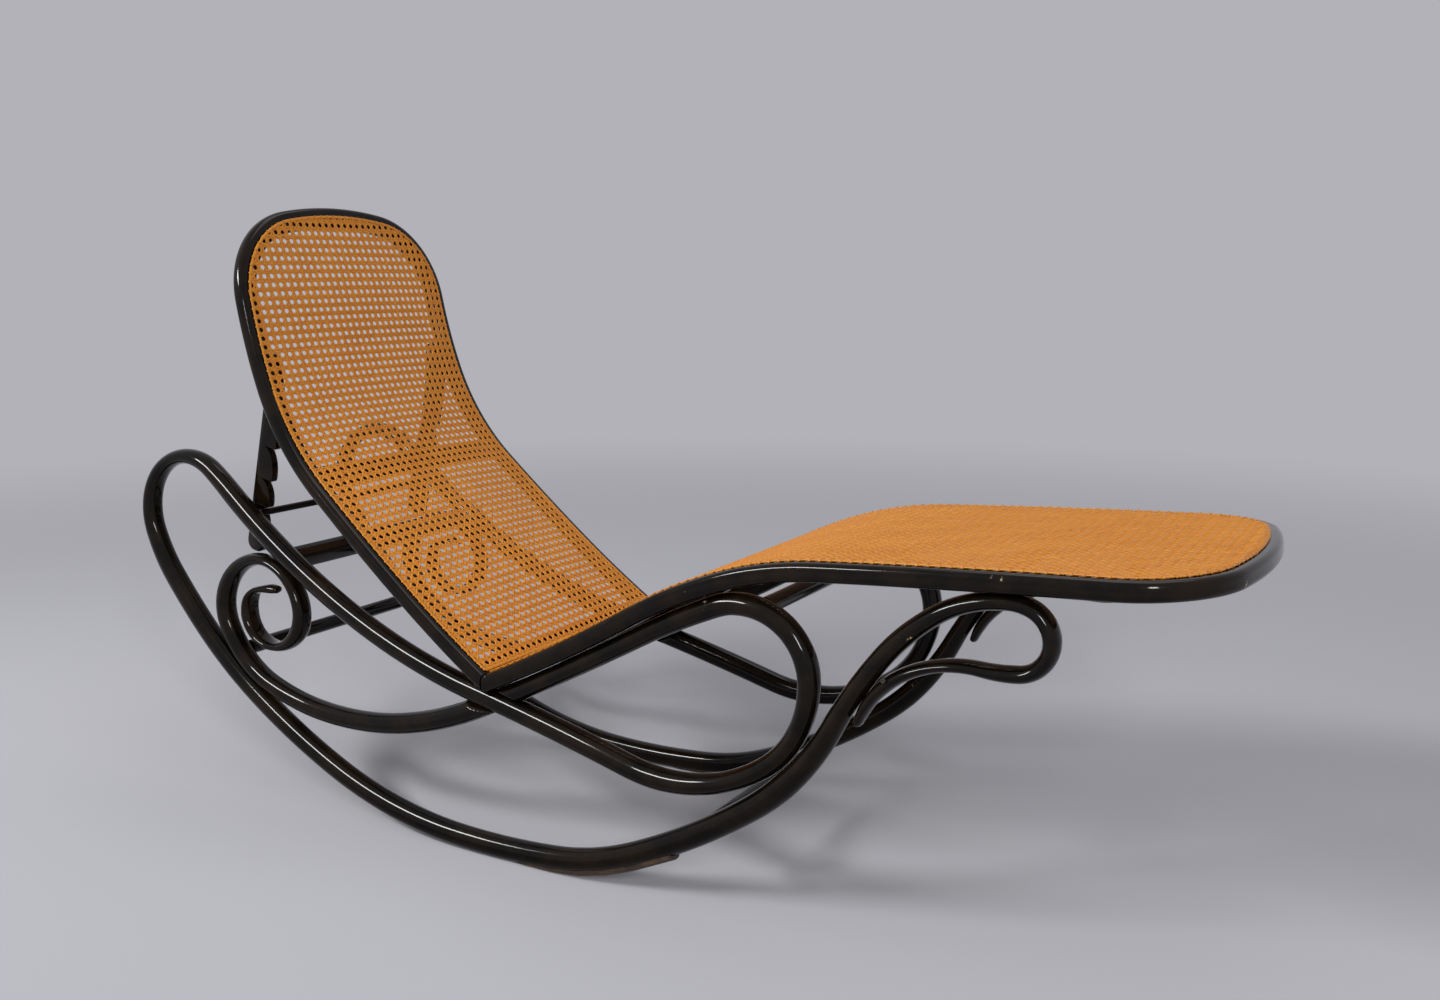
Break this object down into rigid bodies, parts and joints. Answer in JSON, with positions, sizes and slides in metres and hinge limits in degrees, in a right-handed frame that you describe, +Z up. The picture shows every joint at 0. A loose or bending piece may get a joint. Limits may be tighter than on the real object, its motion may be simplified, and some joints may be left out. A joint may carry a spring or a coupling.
{
  "type": "rocking chaise",
  "caption": "Rocking chaise of bent, black-lacquered wooden rod with a caned seat and a caned back that reclines on notched prop boards.",
  "frame": {"origin": "centre of the overall box, on the floor", "axes": "+Z up, -X toward the head end, +X toward the foot end, Y across the chaise"},
  "size_m": [1.6769, 0.47, 0.9197],
  "materials": {
    "lacquered_wood": "glossy black lacquer over bent beech, worn brown at the edges",
    "worn_wood": "dark wood with the lacquer worn through",
    "cane": "honey-coloured split cane, satin",
    "black_steel": "black painted steel rod",
    "steel": "plain steel, slightly dulled"
  },
  "bodies": {
    "frame": {"left_scroll_rod": "lacquered_wood", "left_rail_rod": "lacquered_wood", "left_rocker_rod": "lacquered_wood", "left_wear_strip": "worn_wood", "right_scroll_rod": "lacquered_wood", "right_rail_rod": "lacquered_wood", "right_rocker_rod": "lacquered_wood", "right_wear_strip": "worn_wood", "seat_hoop": "lacquered_wood", "seat_cane": "cane", "seat_hinge_rail": "lacquered_wood", "seat_hinge_leaves": "steel", "prop_rod": "black_steel", "rear_bar": "lacquered_wood", "scroll_bar": "lacquered_wood", "seat_bar": "lacquered_wood", "front_bar": "lacquered_wood"},
    "back": {"back_hoop": "lacquered_wood", "back_cane": "cane", "back_hinge_rail": "lacquered_wood", "back_middle_rail": "lacquered_wood", "back_hinge_leaves": "steel", "pivot_bolts": "steel"},
    "props": {"left_prop_board": "lacquered_wood", "right_prop_board": "lacquered_wood"}
  },
  "joints": [
    {"name": "back_recline", "type": "hinge", "parent": "frame", "child": "back", "pos_m": [-0.1439, 0, 0.2508], "axis": [0, -1, 0], "range_deg": [0, 11.5]},
    {"name": "prop_swing", "type": "hinge", "parent": "back", "child": "props", "pos_m": [-0.56881, 0, 0.68312], "axis": [0, 1, 0], "range_deg": [0, 46]}
  ],
  "couplings": [
    {"joint": "prop_swing", "follows": "back_recline", "ratio": 4}
  ]
}
